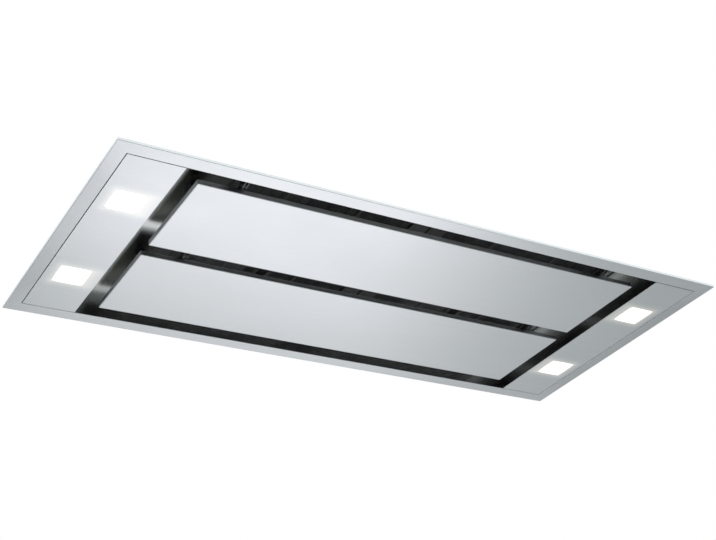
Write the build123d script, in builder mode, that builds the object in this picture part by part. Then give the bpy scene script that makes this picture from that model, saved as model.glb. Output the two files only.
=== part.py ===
"""Recessed ceiling range hood with two perimeter panels, in millimetres.

The origin is the centre of the visible underside, +Z is up into the ceiling, X runs along the length and -Y is
the near side. Everything above the flange stands in the ceiling void.
"""

from build123d import *
from math import cos, radians, sin
import os

os.makedirs("parts", exist_ok=True)

# ---- driving dimensions -------------------------------------------------------------------------------------
# visible frame
flange_length = 1100.0
flange_depth = 500.0
flange_lip = 4.0  # height of the folded outer edge, which bears on the ceiling
sheet = 1.0  # stainless sheet
end_border = 23.0  # frame strip outside a lamp plate
side_border = 25.0  # frame strip along the recess
corner_radius = 1.6
edge_radius = 0.6  # bend radius on edges that show
seam_gap = 1.2  # open seam round a lamp plate
return_height = 10.0  # folded edges that stiffen the plates

# recess and panels
lamp_plate_width = 89.0
slot_width = 30.0  # air slot round the panels
middle_gap = 30.0  # air slot between the panels
recess_height = 27.0  # underside of the liner's polished ledge
ledge_end = 58.0  # ledge at the short walls
ledge_side = 18.0  # ledge at the long walls
panel_height = 8.0
hinge_offset = 8.0  # hinge axis to the panel's near edge
hinge_height = 12.0
hinge_inset = 70.0  # hinge's middle to the panel's end
catch_inset = 20.0  # catch's middle to the panel's end
catch_arm = 68.0  # hinge axis to the catch's middle
pin_radius = 2.5
running_gap = 0.05  # radial, pin in its eye
fit_gap = 0.3  # between pieces that seat without touching

# grease filters
beam_width = 30.0
beam_bottom = 22.0
beam_height = 24.0
beam_ear = 30.0  # beam's end on the ledge
filter_height = 10.0
filter_wall_gap = 8.0  # filter edge to the recess wall
filter_beam_gap = 3.0
filter_end_gap = 1.0
filter_gap = 3.0  # between neighbouring filters
filter_rim = 12.0
filter_end_rim = 30.0
filter_sheet = 1.0
stay_count = 2  # flat stays under the mesh
stay_width = 4.0
pleat_pitch = 16.0
pleat_thickness = 1.8
rail_lip = 10.0
rail_play = 1.7  # above a filter in its rail
latch_width = 24.0
latch_length = 34.0
latch_thickness = 2.5
latch_reach = 3.5  # bolt inside the beam's wall
latch_tab = 7.0

# lamps
lens_size = 50.0
lamp_y = 113.0
lens_height = 3.2
lens_shoulder = 1.0
lamp_wall = 2.0
lamp_height = 25.0
lamp_rim = 3.0
lamp_rim_sheet = 1.5
lamp_air = 6.0  # lens to the housing's roof
fin_count = 6
fin_gap = 4.0
fin_depth = 9.0

# plenum and motor box
plenum_offset = 4.0  # plenum wall outside the frame's opening, at the ends
plenum_side_offset = 6.0
plenum_top = 100.0
motor_box_x = 380.0
motor_box_y = 340.0
motor_box_height = 232.0
box_flange = 14.0
box_screw_inset = 34.0  # end screws to the motor box's corner
lid_skirt = 12.0
bead_height = 3.0  # pressed stiffening beads
bead_width = 14.0
bead_inset = 81.0  # bead to the plenum's side
bead_end_gap = 56.0  # bead's end to the plenum's end or the motor box
lid_bead_count = 3
lid_bead_end_gap = 51.0

# blower
fan_y = -45.0
fan_z = 183.0
impeller_radius = 60.0
impeller_length = 96.0
blade_depth = 11.0
blade_count = 30
scroll_width = 112.0
scroll_wall = 2.0
scroll_radius = 92.0  # first and largest of its three quarter arcs
scroll_step = 9.0  # by which each quarter arc is smaller
inlet_radius = 50.0
shaft_radius = 4.0
motor_radius = 34.0
motor_length = 58.0
motor_gap = 6.0  # motor to the impeller's hub disc
cap_radius = 25.5  # motor's end caps
cap_length = 8.0

# outlet
collar_radius = 75.0
collar_wall = 1.5
collar_length = 60.0
collar_border = 8.0  # collar's flange beyond the tube
collar_corner = 12.0
damper_depth = 14.0  # damper pin inside the collar's root
damper_pin_radius = 2.0
damper_thickness = 1.2

# hangers
hanger_inset = 66.0  # upright to the plenum's end
hanger_edge = 41.0  # bracket's middle to the plenum's side
hanger_width = 40.0
hanger_sheet = 2.5
hanger_height = 60.0
hanger_foot = 34.0
hanger_rib = 10.0
hanger_screw_pitch = 24.0
rod_offset = 20.0  # rod, and foot screws, from the upright's outer face
rod_hole_radius = 5.0

# controls
control_box_size = (160.0, 120.0, 45.0)
control_wall = 1.5
control_foot = 12.0  # screw flange outside a box
control_foot_inset = 8.0
control_screw_inset = 16.0
driver_size = (150.0, 42.0, 28.0)
driver_foot_width = 25.0
gland_height = 20.0  # gland's middle above the plenum
gland_bore = 4.5
capacitor_radius = 16.0
capacitor_length = 58.0

screw_radius = 2.0
screw_head_radius = 4.0
screw_head = 1.8
screw_length = 6.0

# ---- places worked out from them -------------------------------------------------------------------------------
half_length = flange_length / 2
half_depth = flange_depth / 2
opening_x = half_length - end_border
recess_y = half_depth - side_border
recess_x = opening_x - lamp_plate_width
panel_x = recess_x - slot_width
panel_outer = recess_y - slot_width
panel_inner = middle_gap / 2
near_panel = (-panel_outer, -panel_inner)
far_panel = (panel_inner, panel_outer)
hinge_ys = (near_panel[0] - hinge_offset, far_panel[0] - hinge_offset)
hinge_x = panel_x - hinge_inset
catch_x = panel_x - catch_inset
beam_y = beam_width / 2
ledge_x = recess_x - ledge_end
ledge_y = recess_y - ledge_side
ledge_top = recess_height + sheet
filter_bottom = ledge_top + fit_gap
filter_length = ledge_x - filter_end_gap - filter_gap / 2
filter_depth = recess_y - filter_wall_gap - beam_y - filter_beam_gap
filter_x = (filter_gap + filter_length) / 2
filter_y = beam_y + filter_beam_gap + filter_depth / 2
filter_places = {"near_left": (-1, -1), "near_right": (1, -1), "far_left": (-1, 1), "far_right": (1, 1)}
rail_y = filter_y + filter_depth / 2 + sheet
rail_top = filter_bottom + filter_height + rail_play
lamp_x = recess_x + lamp_plate_width / 2
lamp_places = filter_places
plenum_x = opening_x + plenum_offset
plenum_y = recess_y + plenum_side_offset
box_top = plenum_top + motor_box_height
box_x = motor_box_x / 2
box_y = motor_box_y / 2
scroll_outlet_top = fan_z + scroll_step / 2 + scroll_radius
scroll_outlet_bottom = fan_z + scroll_step / 2
outlet_z = (scroll_outlet_top + scroll_outlet_bottom) / 2
damper_y = box_y + damper_depth
control_x = -(plenum_x + box_x) / 2
driver_x = (plenum_x + box_x) / 2
hanger_x = plenum_x - hanger_inset
hanger_y = plenum_y - hanger_edge
rod_holes = [(sx * (hanger_x + rod_offset), sy * hanger_y) for sx in (-1, 1) for sy in (-1, 1)]

# every screw shares one pattern: the middle of the sheet it holds and the way its head faces
box_screw_y = box_y - box_screw_inset
box_screws = [(sx * (box_x + box_flange / 2), i * box_screw_y) for sx in (-1, 1) for i in (-1, 0, 1)]
hanger_screws = [
    (sx * (hanger_x - rod_offset), sy * hanger_y + end * hanger_screw_pitch / 2)
    for sx in (-1, 1)
    for sy in (-1, 1)
    for end in (-1, 1)
]
control_screw_x = control_box_size[0] / 2 - control_screw_inset
control_screws = [
    (control_x + sx * control_screw_x, sy * (control_box_size[1] + control_foot) / 2)
    for sx in (-1, 1)
    for sy in (-1, 1)
]
driver_screws = [(driver_x + side * (driver_size[0] + control_foot) / 2, 0) for side in (-1, 1)]


def save(piece, name):
    """Labels a finished sub-part and writes its STEP file."""
    piece.part.label = name
    export_step(piece.part, f"parts/{name}.step")


def slab(x, y, z, mode=Mode.ADD):
    """A rectangular block between two limits along each axis, in the part being built."""
    middle = [(low + high) / 2 for low, high in (x, y, z)]
    with Locations(tuple(middle)):
        Box(x[1] - x[0], y[1] - y[0], z[1] - z[0], mode=mode)


# ---- visible frame -----------------------------------------------------------------------------------------------
with BuildPart() as flange_frame:
    with BuildSketch():
        Rectangle(flange_length, flange_depth)
    extrude(amount=flange_lip)
    fillet(flange_frame.edges().filter_by(Axis.Z), corner_radius)
    fillet(flange_frame.faces().sort_by(Axis.Z)[0].edges(), edge_radius)
    with BuildSketch(Plane.XY.offset(sheet)):
        Rectangle(flange_length - 2 * sheet, flange_depth - 2 * sheet)
    extrude(amount=flange_lip, mode=Mode.SUBTRACT)
    with BuildSketch():
        Rectangle(2 * opening_x, 2 * recess_y)
    extrude(amount=flange_lip, mode=Mode.SUBTRACT)
    for side in (-1, 1):
        with BuildSketch(Plane.XY.offset(sheet)):
            with Locations((side * (opening_x + sheet / 2), 0)):
                Rectangle(sheet, 2 * recess_y)
        extrude(amount=return_height - sheet)
save(flange_frame, "flange_frame")

# ---- lamp plates, with folded edges and a square window for each lamp -------------------------------------------
plate_outer = opening_x - seam_gap
plate_y = recess_y - seam_gap
inner_return = recess_x + sheet

with BuildPart() as lamp_plate_right:
    with BuildSketch():
        with Locations(((recess_x + plate_outer) / 2, 0)):
            Rectangle(plate_outer - recess_x, 2 * plate_y)
    extrude(amount=sheet)
    fillet(lamp_plate_right.edges().filter_by(Axis.Z).sort_by(Axis.X)[-2:], edge_radius)
    slab((plate_outer - sheet, plate_outer), (-plate_y + edge_radius, plate_y - edge_radius), (sheet, return_height))
    slab((inner_return, inner_return + sheet), (-plate_y, plate_y), (sheet, 2 * return_height))
    for side in (-1, 1):
        edge = sorted((side * plate_y, side * (plate_y - sheet)))
        slab((inner_return + sheet, plate_outer - sheet), edge, (sheet, return_height))
    with BuildSketch():
        with Locations((lamp_x, -lamp_y), (lamp_x, lamp_y)):
            RectangleRounded(lens_size + 2 * fit_gap, lens_size + 2 * fit_gap, corner_radius)
    extrude(amount=sheet, mode=Mode.SUBTRACT)
save(lamp_plate_right, "lamp_plate_right")

with BuildPart() as lamp_plate_left:
    mirror(lamp_plate_right.part, about=Plane.YZ)
save(lamp_plate_left, "lamp_plate_left")

# ---- recess liner: four polished walls and the ledge on which the filters rest ------------------------------------
with BuildPart() as recess_liner:
    with BuildSketch(Plane.XY.offset(sheet)):
        Rectangle(2 * (recess_x + sheet), 2 * (recess_y + sheet))
    extrude(amount=ledge_top - sheet)
    with BuildSketch(Plane.XY.offset(sheet)):
        Rectangle(2 * recess_x, 2 * recess_y)
    extrude(amount=recess_height - sheet, mode=Mode.SUBTRACT)
    with BuildSketch(Plane.XY.offset(recess_height)):
        RectangleRounded(2 * ledge_x, 2 * ledge_y, 2 * corner_radius)
    extrude(amount=sheet, mode=Mode.SUBTRACT)
    for side in (-1, 1):
        foot = sorted((side * (recess_y + sheet), side * (plenum_y - sheet - fit_gap)))
        slab((-recess_x, recess_x), foot, (sheet, 2 * sheet))
save(recess_liner, "recess_liner")

# ---- centre beam between the two filter bays, with a slot for each filter's bolt ---------------------------------
latch_top = filter_bottom - fit_gap
latch_bottom = latch_top - latch_thickness
beam_top = beam_bottom + beam_height

with BuildPart() as centre_beam:
    with BuildSketch(Plane.YZ):
        with Locations((0, (beam_bottom + beam_top) / 2)):
            Rectangle(beam_width, beam_height)
        with Locations((0, (beam_bottom + sheet + beam_top) / 2)):
            Rectangle(beam_width - 2 * sheet, beam_height - sheet, mode=Mode.SUBTRACT)
    extrude(amount=ledge_x + beam_ear, both=True)
    fillet(centre_beam.faces().sort_by(Axis.Z)[0].edges().filter_by(Axis.X), edge_radius)
    for side in (-1, 1):
        ear = sorted((side * (ledge_x - fit_gap), side * (ledge_x + 2 * beam_ear)))
        slab(ear, (-beam_width, beam_width), (0, ledge_top), mode=Mode.SUBTRACT)
        slot = (side * filter_x - latch_width / 2 - fit_gap, side * filter_x + latch_width / 2 + fit_gap)
        slab(slot, (-beam_width, beam_width), (latch_bottom - fit_gap, latch_top + fit_gap), mode=Mode.SUBTRACT)
save(centre_beam, "centre_beam")

# ---- rails on the ledge, into which the filters' outer edges are pushed ------------------------------------------
with BuildPart() as filter_rails:
    for side in (-1, 1):
        web = sorted((side * rail_y, side * (rail_y + sheet)))
        foot = sorted((side * rail_y, side * recess_y))
        lip = sorted((side * (rail_y + sheet), side * (rail_y - rail_lip)))
        slab((-ledge_x, ledge_x), foot, (ledge_top, ledge_top + sheet))
        slab((-ledge_x, ledge_x), web, (ledge_top, rail_top))
        slab((-ledge_x, ledge_x), lip, (rail_top, rail_top + sheet))
save(filter_rails, "filter_rails")

# ---- grease filters: channel frame, pleated mesh and sliding latch -----------------------------------------------
guide_wall = 2.0
guide_lip = 4.0
guide_start = 8.0  # from the filter's inner edge
guide_length = 14.0


def filter_frame(sx, sy):
    """The channel frame of one filter, with the guide for its latch on the edge at the beam."""
    x, y = sx * filter_x, sy * filter_y
    inner_edge = filter_y - filter_depth / 2
    with BuildPart() as frame:
        with BuildSketch(Plane.XY.offset(filter_bottom)):
            with Locations((x, y)):
                Rectangle(filter_length, filter_depth)
                Rectangle(filter_length - 2 * filter_end_rim, filter_depth - 2 * filter_rim, mode=Mode.SUBTRACT)
        extrude(amount=filter_height)
        fillet(frame.edges().filter_by(Axis.Z).group_by(SortBy.LENGTH)[-1], corner_radius)
        with BuildSketch(Plane.XY.offset(filter_bottom + filter_sheet)):
            with Locations((x, y)):
                Rectangle(filter_length - 2 * filter_sheet, filter_depth - 2 * filter_sheet)
        extrude(amount=filter_height - 2 * filter_sheet, mode=Mode.SUBTRACT)
        ends = (y - filter_depth / 2 + filter_rim, y + filter_depth / 2 - filter_rim)
        for i in range(stay_count):
            stay = x + ((i + 1) / (stay_count + 1) - 1 / 2) * filter_length
            slab((stay - stay_width / 2, stay + stay_width / 2), ends, (filter_bottom, filter_bottom + filter_sheet))
        guide_y = sorted((sy * (inner_edge + guide_start), sy * (inner_edge + guide_start + guide_length)))
        guide_z = latch_bottom - fit_gap
        for end in (-1, 1):
            wall = [x + end * (latch_width / 2 + fit_gap), x + end * (latch_width / 2 + fit_gap + guide_wall)]
            lip = [wall[1], wall[0] - end * guide_lip]
            slab(sorted(wall), guide_y, (guide_z - filter_sheet, filter_bottom))
            slab(sorted(lip), guide_y, (guide_z - filter_sheet, guide_z))
    return frame


def filter_mesh(sx, sy):
    """The pleated pad of aluminium mesh that stands inside one filter frame."""
    play = filter_sheet + fit_gap
    half = filter_length / 2 - play
    low = filter_bottom + filter_sheet + fit_gap
    high = filter_bottom + filter_height - filter_sheet - fit_gap
    pleats = int(2 * half / pleat_pitch)
    step = half / pleats
    under = [(-half + i * step, low if i % 2 == 0 else high - pleat_thickness) for i in range(2 * pleats + 1)]
    over = [(u, z + pleat_thickness) for u, z in reversed(under)]
    with BuildPart() as pad:
        with BuildSketch(Plane.XZ.offset(-sy * filter_y)):
            with BuildLine():
                Polyline(*[(sx * filter_x + u, z) for u, z in under + over], close=True)
            make_face()
        extrude(amount=filter_depth / 2 - play, both=True)
    return pad


def filter_latch(sx, sy):
    """The spring bolt of one filter: a flat slider whose tip stands in the beam's slot, with a finger tab."""
    x = sx * filter_x
    tip = beam_y - latch_reach
    tail = tip + latch_length
    with BuildPart() as latch:
        with BuildSketch(Plane.XY.offset(latch_bottom)):
            with Locations((x, sy * (tip + tail) / 2)):
                Rectangle(latch_width, latch_length)
        extrude(amount=latch_thickness)
        fillet(latch.edges().filter_by(Axis.Z).group_by(Axis.Y)[0 if sy > 0 else -1], corner_radius)
        tab = sorted((sy * (tail - latch_thickness), sy * tail))
        slab((x - latch_width / 2, x + latch_width / 2), tab, (latch_bottom - latch_tab, latch_bottom))
    return latch


for place, (sx, sy) in filter_places.items():
    save(filter_frame(sx, sy), f"filter_frame_{place}")
    save(filter_mesh(sx, sy), f"filter_mesh_{place}")
    save(filter_latch(sx, sy), f"filter_latch_{place}")

# ---- perimeter panels: tray skin, stiffening back, hinge arms and strikers ---------------------------------------
rib_count = 4  # channel ribs on a panel's back
rib_width = 12.0
arm_thickness = 3.0
arm_eye = 5.0
arm_belly = 3.5  # arm's lower edge under the hinge axis
arm_reach = 34.0
foot_width = 22.0
foot_sheet = 2.0
striker_size = (17.0, 22.0)
striker_sheet = 1.5


def panel_skin(low, high):
    """The visible tray of a panel between two places along Y."""
    with BuildPart() as skin:
        with BuildSketch():
            with Locations((0, (low + high) / 2)):
                Rectangle(2 * panel_x, high - low)
        extrude(amount=panel_height)
        fillet(skin.edges().filter_by(Axis.Z), corner_radius)
        fillet(skin.faces().sort_by(Axis.Z)[0].edges(), edge_radius)
        with BuildSketch(Plane.XY.offset(sheet)):
            with Locations((0, (low + high) / 2)):
                Rectangle(2 * (panel_x - sheet), high - low - 2 * sheet)
        extrude(amount=panel_height, mode=Mode.SUBTRACT)
    return skin


def panel_back(low, high):
    """The flat back inside the tray's folds, with channel ribs that bear on the skin."""
    play = sheet + fit_gap
    with BuildPart() as back:
        slab((-panel_x + play, panel_x - play), (low + play, high - play), (panel_height - sheet, panel_height))
        rib_y = (low + 4 * play, high - 4 * play)
        for i in range(rib_count):
            x = panel_x * (2 * i + 1 - rib_count) / rib_count
            slab((x - rib_width / 2, x + rib_width / 2), rib_y, (sheet, panel_height - sheet))
            hollow = (x - rib_width / 2 + sheet, x + rib_width / 2 - sheet)
            slab(hollow, rib_y, (2 * sheet, panel_height), mode=Mode.SUBTRACT)
    return back


def panel_hinge_arms(low):
    """Two arms that rise from the back over the tray's near fold to the hinge pins."""
    pin_y = low - hinge_offset
    with BuildPart() as arms:
        for side in (-1, 1):
            with BuildSketch(Plane.YZ.offset(side * hinge_x - arm_thickness / 2)):
                with Locations((pin_y, hinge_height)):
                    Circle(arm_eye)
                with BuildLine():
                    Polyline(
                        (pin_y, hinge_height + arm_eye),
                        (low + arm_reach / 2, hinge_height + arm_eye),
                        (low + arm_reach, panel_height + foot_sheet),
                        (low + arm_reach, panel_height),
                        (low + sheet + fit_gap, panel_height),
                        (low - fit_gap, panel_height + fit_gap),
                        (pin_y, hinge_height - arm_belly),
                        close=True,
                    )
                make_face()
                with Locations((pin_y, hinge_height)):
                    Circle(pin_radius + running_gap, mode=Mode.SUBTRACT)
            extrude(amount=arm_thickness)
            foot = (side * hinge_x - foot_width / 2, side * hinge_x + foot_width / 2)
            slab(foot, (low + 2 * sheet, low + arm_reach), (panel_height, panel_height + foot_sheet))
    return arms


def panel_strikers(low):
    """Two steel plates on the back that the magnet catches hold."""
    size_x, size_y = striker_size
    middle = low - hinge_offset + catch_arm
    inset = (middle - size_y / 2, middle + size_y / 2)
    with BuildPart() as strikers:
        for side in (-1, 1):
            span = (side * catch_x - size_x / 2, side * catch_x + size_x / 2)
            slab(span, inset, (panel_height, panel_height + striker_sheet))
    return strikers


for name, (low, high) in {"near": near_panel, "far": far_panel}.items():
    save(panel_skin(low, high), f"panel_{name}_skin")
    save(panel_back(low, high), f"panel_{name}_back")
    save(panel_hinge_arms(low), f"panel_{name}_hinge_arms")
    save(panel_strikers(low), f"panel_{name}_strikers")

# ---- hinge brackets on the near wall and under the beam, with their pins -----------------------------------------
cheek = 2.0
cheek_eye = 6.0
cheek_gap = arm_thickness / 2 + fit_gap  # from the arm's middle to a cheek
bracket_half = cheek_gap + cheek
bracket_base = 1.5
bracket_rise = 14.0  # hinge axis to the top of the near brackets' wall plates
pin_head_radius = 4.0
pin_head = 1.2


with BuildPart() as hinge_brackets:
    for side in (-1, 1):
        near_y, far_y = hinge_ys
        wall_seat = [
            (-recess_y, hinge_height + bracket_rise),
            (-recess_y, hinge_height - cheek_eye / 2),
            (near_y, hinge_height - cheek_eye),
            (near_y, hinge_height + cheek_eye),
        ]
        beam_seat = [
            (far_y - cheek_eye, hinge_height),
            (far_y + cheek_eye, hinge_height),
            (far_y + cheek_eye, beam_bottom),
            (far_y - 2 * cheek_eye, beam_bottom),
        ]
        for pin_y, seat in ((near_y, wall_seat), (far_y, beam_seat)):
            for end in (-1, 1):
                start = side * hinge_x + end * (cheek_gap + cheek / 2) - cheek / 2
                with BuildSketch(Plane.YZ.offset(start)):
                    with BuildLine():
                        Polyline(*seat, close=True)
                    make_face()
                    with Locations((pin_y, hinge_height)):
                        Circle(cheek_eye)
                        Circle(pin_radius + running_gap, mode=Mode.SUBTRACT)
                extrude(amount=cheek)
        span = (side * hinge_x - bracket_half, side * hinge_x + bracket_half)
        plate_z = (hinge_height - cheek_eye / 2, hinge_height + bracket_rise)
        slab(span, (-recess_y, -recess_y + bracket_base), plate_z)
        top = (far_y - 2 * cheek_eye, far_y + cheek_eye)
        slab(span, top, (beam_bottom - bracket_base, beam_bottom))
save(hinge_brackets, "hinge_brackets")

with BuildPart() as hinge_pins:
    for side in (-1, 1):
        for pin_y in hinge_ys:
            start = side * hinge_x - bracket_half - fit_gap
            length = 2 * (bracket_half + fit_gap)
            with BuildSketch(Plane.YZ.offset(start)):
                with Locations((pin_y, hinge_height)):
                    Circle(pin_radius)
            extrude(amount=length)
            for face in (start - pin_head, start + length):
                with BuildSketch(Plane.YZ.offset(face)):
                    with Locations((pin_y, hinge_height)):
                        Circle(pin_head_radius)
                extrude(amount=pin_head)
save(hinge_pins, "hinge_pins")

# ---- magnet catches under the ledge, over the panels' ends --------------------------------------------------------
catch_size = (16.0, 20.0)
catch_plate = 2.0
catch_ear = 6.0
catch_bottom = panel_height + striker_sheet + fit_gap

with BuildPart() as panel_catches:
    for pin_y in hinge_ys:
        middle = pin_y + catch_arm
        for side in (-1, 1):
            span = (side * catch_x - catch_size[0] / 2, side * catch_x + catch_size[0] / 2)
            block = (middle - catch_size[1] / 2, middle + catch_size[1] / 2)
            slab(span, block, (catch_bottom, recess_height))
            plate = (block[0] - catch_ear, block[1] + catch_ear)
            slab(span, plate, (recess_height - catch_plate, recess_height))
save(panel_catches, "panel_catches")

# ---- lamps: lens, finned housing, LED board and spring clips -----------------------------------------------------
lamp_cavity = lens_size / 2 + lens_shoulder + fit_gap
lamp_half = lamp_cavity + lamp_wall
lamp_roof = sheet + lens_height + lamp_air
board_sheet = 1.6
clip_sheet = 0.8
clip_width = 14.0
clip_top = 16.0  # all three above the lamp plate
clip_bend = 6.0
clip_crown = 8.0
clip_reach = 12.0


def lamp_housing(x, y):
    """The finned aluminium cup of one lamp, seated on the lamp plate by its rim."""
    with BuildPart() as housing:
        with BuildSketch(Plane.XY.offset(sheet)):
            with Locations((x, y)):
                RectangleRounded(2 * (lamp_half + lamp_rim), 2 * (lamp_half + lamp_rim), corner_radius)
        extrude(amount=lamp_rim_sheet)
        slab((x - lamp_half, x + lamp_half), (y - lamp_half, y + lamp_half), (sheet, sheet + lamp_height))
        cavity = lamp_cavity
        slab((x - cavity, x + cavity), (y - cavity, y + cavity), (sheet, lamp_roof), mode=Mode.SUBTRACT)
        top = sheet + lamp_height
        with BuildSketch(Plane.XY.offset(top - fin_depth)):
            with Locations((x, y)):
                with GridLocations(2 * lamp_half / fin_count, 1, fin_count, 1):
                    Rectangle(fin_gap, 2 * lamp_half)
        extrude(amount=fin_depth, mode=Mode.SUBTRACT)
    return housing


def lamp_lens(x, y):
    """The frosted square lens, flush with the underside, with a shoulder above the plate."""
    shoulder = lens_size + 2 * lens_shoulder
    with BuildPart() as lens:
        with BuildSketch():
            with Locations((x, y)):
                RectangleRounded(lens_size, lens_size, corner_radius)
        extrude(amount=sheet + lens_height)
        with BuildSketch(Plane.XY.offset(sheet + fit_gap)):
            with Locations((x, y)):
                RectangleRounded(shoulder, shoulder, corner_radius)
        extrude(amount=lens_height - fit_gap)
    return lens


for place, (sx, sy) in lamp_places.items():
    save(lamp_housing(sx * lamp_x, sy * lamp_y), f"lamp_housing_{place}")
    save(lamp_lens(sx * lamp_x, sy * lamp_y), f"lamp_lens_{place}")

with BuildPart() as led_boards:
    for sx, sy in lamp_places.values():
        with BuildSketch(Plane.XY.offset(lamp_roof - board_sheet)):
            with Locations((sx * lamp_x, sy * lamp_y)):
                Rectangle(2 * (lamp_cavity - fit_gap), 2 * (lamp_cavity - fit_gap))
        extrude(amount=board_sheet)
save(led_boards, "led_boards")

with BuildPart() as lamp_clips:
    for sx, sy in lamp_places.values():
        for end in (-1, 1):
            wall = sy * lamp_y + end * lamp_half
            path = [
                (wall + end * clip_sheet / 2, sheet + clip_top),
                (wall + end * clip_sheet / 2, sheet + clip_bend),
                (wall + end * (lamp_rim + clip_reach / 2), sheet + clip_crown),
                (wall + end * (lamp_rim + clip_reach), sheet + clip_sheet / 2 + fit_gap),
            ]
            with BuildSketch(Plane.YZ.offset(sx * lamp_x - clip_width / 2)):
                with BuildLine():
                    bent = Polyline(*path)
                    offset(bent, amount=clip_sheet / 2, side=Side.BOTH)
                make_face()
            extrude(amount=clip_width)
save(lamp_clips, "lamp_clips")

# ---- plenum shell over the frame's opening -----------------------------------------------------------------------
plenum_window = (motor_box_x - 4 * box_flange, motor_box_y - 2 * box_flange)
bead_x = (plenum_x + box_x) / 2
bead_y = plenum_y - bead_inset

with BuildPart() as plenum_shell:
    with BuildSketch(Plane.XY.offset(sheet)):
        Rectangle(2 * plenum_x, 2 * plenum_y)
    extrude(amount=plenum_top - sheet)
    fillet(plenum_shell.edges().filter_by(Axis.Z), 2 * corner_radius)
    with BuildSketch(Plane.XY.offset(sheet)):
        Rectangle(2 * (plenum_x - sheet), 2 * (plenum_y - sheet))
    extrude(amount=plenum_top - 2 * sheet, mode=Mode.SUBTRACT)
    with BuildSketch(Plane.XY.offset(plenum_top)):
        with GridLocations(2 * bead_x, 2 * bead_y, 2, 2):
            SlotOverall(plenum_x - box_x - 2 * bead_end_gap, bead_width)
    extrude(amount=bead_height, taper=30)
    with BuildSketch(Plane.XY.offset(plenum_top - sheet)):
        Rectangle(*plenum_window)
        with Locations(*box_screws, *hanger_screws, *control_screws, *driver_screws):
            Circle(screw_radius)
    extrude(amount=sheet, mode=Mode.SUBTRACT)
save(plenum_shell, "plenum_shell")

# ---- motor box on the plenum, with its lid -----------------------------------------------------------------------
with BuildPart() as motor_box:
    with BuildSketch(Plane.XY.offset(plenum_top)):
        Rectangle(motor_box_x + 2 * box_flange, motor_box_y)
    extrude(amount=sheet)
    with BuildSketch(Plane.XY.offset(plenum_top)):
        Rectangle(motor_box_x, motor_box_y)
    extrude(amount=motor_box_height)
    fillet(motor_box.edges().filter_by(Axis.Z).group_by(SortBy.LENGTH)[-1], corner_radius)
    with BuildSketch(Plane.XY.offset(plenum_top)):
        Rectangle(motor_box_x - 2 * sheet, motor_box_y - 2 * sheet)
    extrude(amount=motor_box_height, mode=Mode.SUBTRACT)
    with BuildSketch(Plane.XZ.offset(-box_y)):
        with Locations((0, outlet_z)):
            Circle(collar_radius - collar_wall)
    extrude(amount=2 * sheet, both=True, mode=Mode.SUBTRACT)
    with BuildSketch(Plane.XY.offset(plenum_top)):
        with Locations(*box_screws):
            Circle(screw_radius)
    extrude(amount=sheet, mode=Mode.SUBTRACT)
save(motor_box, "motor_box")

lid_x = box_x + fit_gap + sheet
lid_y = box_y + fit_gap + sheet
with BuildPart() as motor_box_lid:
    with BuildSketch(Plane.XY.offset(box_top - lid_skirt)):
        Rectangle(2 * lid_x, 2 * lid_y)
    extrude(amount=lid_skirt + sheet)
    fillet(motor_box_lid.edges().filter_by(Axis.Z), corner_radius)
    with BuildSketch(Plane.XY.offset(box_top - lid_skirt)):
        Rectangle(2 * (lid_x - sheet), 2 * (lid_y - sheet))
    extrude(amount=lid_skirt, mode=Mode.SUBTRACT)
    with BuildSketch(Plane.XY.offset(box_top + sheet)):
        with GridLocations(motor_box_x / lid_bead_count, 1, lid_bead_count, 1):
            SlotOverall(motor_box_y - 2 * lid_bead_end_gap, bead_width, rotation=90)
    extrude(amount=bead_height, taper=30)
save(motor_box_lid, "motor_box_lid")

# ---- outlet collar with its two-flap damper ----------------------------------------------------------------------
collar_flange = 1.5
collar_bore = collar_radius - collar_wall
seat_width = 4.0  # ring on which the closed flaps rest
seat_thickness = 2.0

with BuildPart() as outlet_collar:
    with BuildSketch(Plane.XZ.offset(-box_y)):
        with Locations((0, outlet_z)):
            RectangleRounded(2 * (collar_radius + collar_border), 2 * (collar_radius + collar_border), collar_corner)
    extrude(amount=-collar_flange)
    with BuildSketch(Plane.XZ.offset(-box_y)):
        with Locations((0, outlet_z)):
            Circle(collar_radius)
    extrude(amount=-collar_length)
    rim = outlet_collar.faces().sort_by(Axis.Y)[-1].edges()
    chamfer(rim, length=collar_wall / 2)
    with BuildSketch(Plane.XZ.offset(-box_y)):
        with Locations((0, outlet_z)):
            Circle(collar_bore)
    extrude(amount=-collar_length, mode=Mode.SUBTRACT)
    with BuildSketch(Plane.XZ.offset(-damper_y + damper_thickness / 2 + 2 * fit_gap)):
        with Locations((0, outlet_z)):
            Circle(collar_radius)
            Circle(collar_bore - seat_width, mode=Mode.SUBTRACT)
    extrude(amount=seat_thickness)
    with BuildSketch(Plane.XY.offset(outlet_z - collar_radius)):
        with Locations((0, damper_y)):
            Circle(damper_pin_radius + running_gap)
    extrude(amount=2 * collar_radius, mode=Mode.SUBTRACT)
save(outlet_collar, "outlet_collar")

with BuildPart() as damper_pin:
    with BuildSketch(Plane.XY.offset(outlet_z - collar_radius + fit_gap)):
        with Locations((0, damper_y)):
            Circle(damper_pin_radius)
    extrude(amount=2 * (collar_radius - fit_gap))
save(damper_pin, "damper_pin")

barrel_wall = 1.6
barrel_radius = damper_pin_radius + barrel_wall
barrel_count = 4
barrel_length = 29.0
flap_start = barrel_radius + 2 * fit_gap
flap_radius = collar_bore - 2 * fit_gap


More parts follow.
